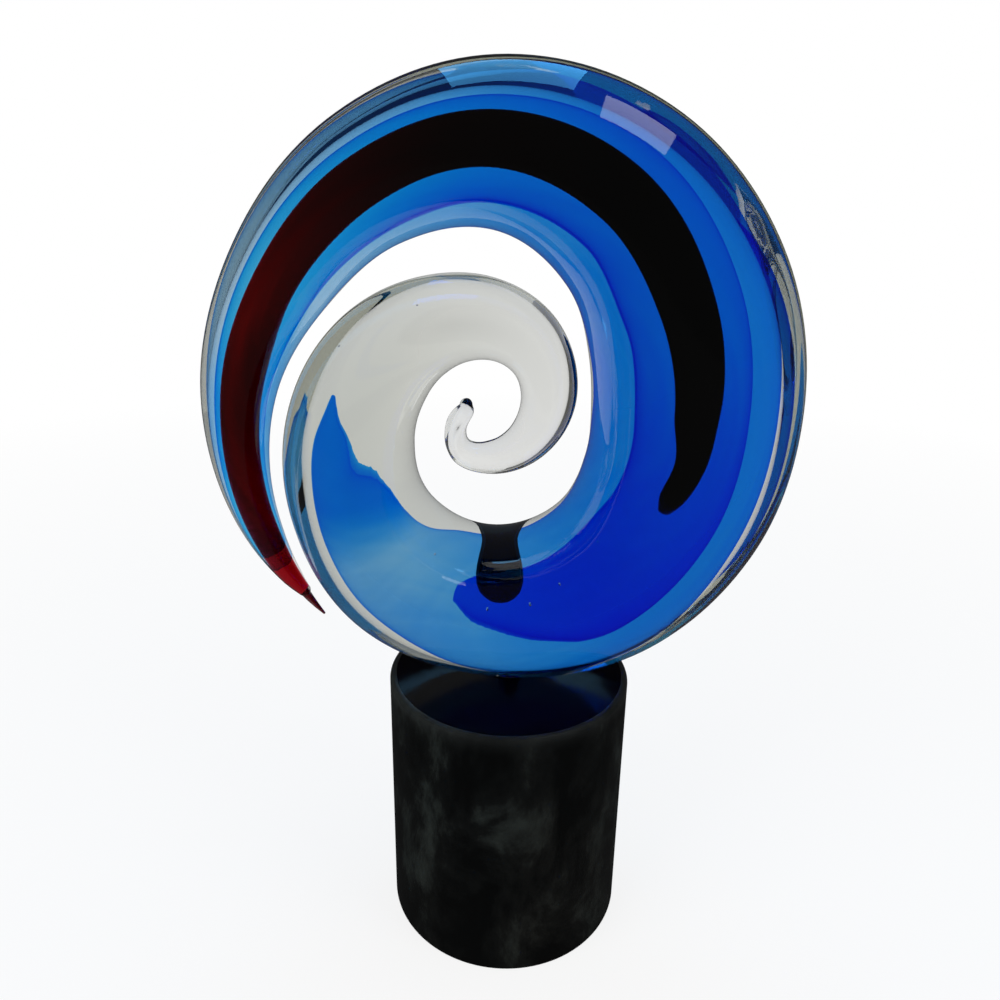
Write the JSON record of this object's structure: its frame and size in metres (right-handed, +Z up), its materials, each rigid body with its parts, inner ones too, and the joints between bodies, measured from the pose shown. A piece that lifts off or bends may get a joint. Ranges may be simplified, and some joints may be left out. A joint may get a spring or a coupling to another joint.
{
  "type": "glass wave sculpture",
  "caption": "Upright disc-shaped glass wave, a tapering horn curled in a spiral with layered blue and ruby glass inside, standing over a pin on a round black base.",
  "frame": {"origin": "centre of the base's underside, on the floor", "axes": "+Z up, +X to the right of the glass as seen from its front, +Y to the back, across the flat of the disc"},
  "size_m": [0.3418, 0.15, 0.5165],
  "materials": {
    "clear_glass": "fire-polished clear glass, faint grey-green",
    "aqua_glass": "clear glass cased in pale aqua blue",
    "cobalt_glass": "glass cased in cobalt blue",
    "ruby_glass": "dense ruby glass, almost black where thick",
    "clear_nylon": "translucent nylon",
    "black_rubber": "thin black rubber",
    "bright_steel": "turned stainless steel",
    "zinc_steel": "zinc-plated steel",
    "bare_steel": "oiled mild steel",
    "blackened_steel": "blackened and waxed steel, cloudy matt charcoal",
    "black_gloss": "polished black lacquer",
    "cast_weight": "as-cast iron",
    "black_felt": "dense wool felt"
  },
  "bodies": {
    "base": {"base_tube": "blackened_steel", "base_lid": "black_gloss", "lid_tabs": "bare_steel", "lid_screws": "zinc_steel", "mounting_pin": "bright_steel", "pin_washer": "zinc_steel", "pin_nut": "zinc_steel", "bottom_plate": "bare_steel", "bottom_tabs": "bare_steel", "bottom_screws": "zinc_steel", "ballast_disc": "cast_weight", "ballast_bolt": "zinc_steel", "ballast_washer": "zinc_steel", "ballast_nut": "zinc_steel", "felt_pad": "black_felt"},
    "seat": {"foot_pad": "black_rubber"},
    "glass": {"clear_glass_body": "clear_glass", "aqua_glass_layer": "aqua_glass", "cobalt_glass_layer": "cobalt_glass", "ruby_glass_core": "ruby_glass", "glass_hole_sleeve": "clear_nylon"}
  },
  "joints": [
    {"name": "turn", "type": "hinge", "parent": "base", "child": "seat", "pos_m": [0, 0, 0.167], "axis": [0, 0, 1], "continuous": true},
    {"name": "lift", "type": "slide", "parent": "seat", "child": "glass", "axis": [0, 0, 1], "range_m": [0, 0.03]}
  ]
}
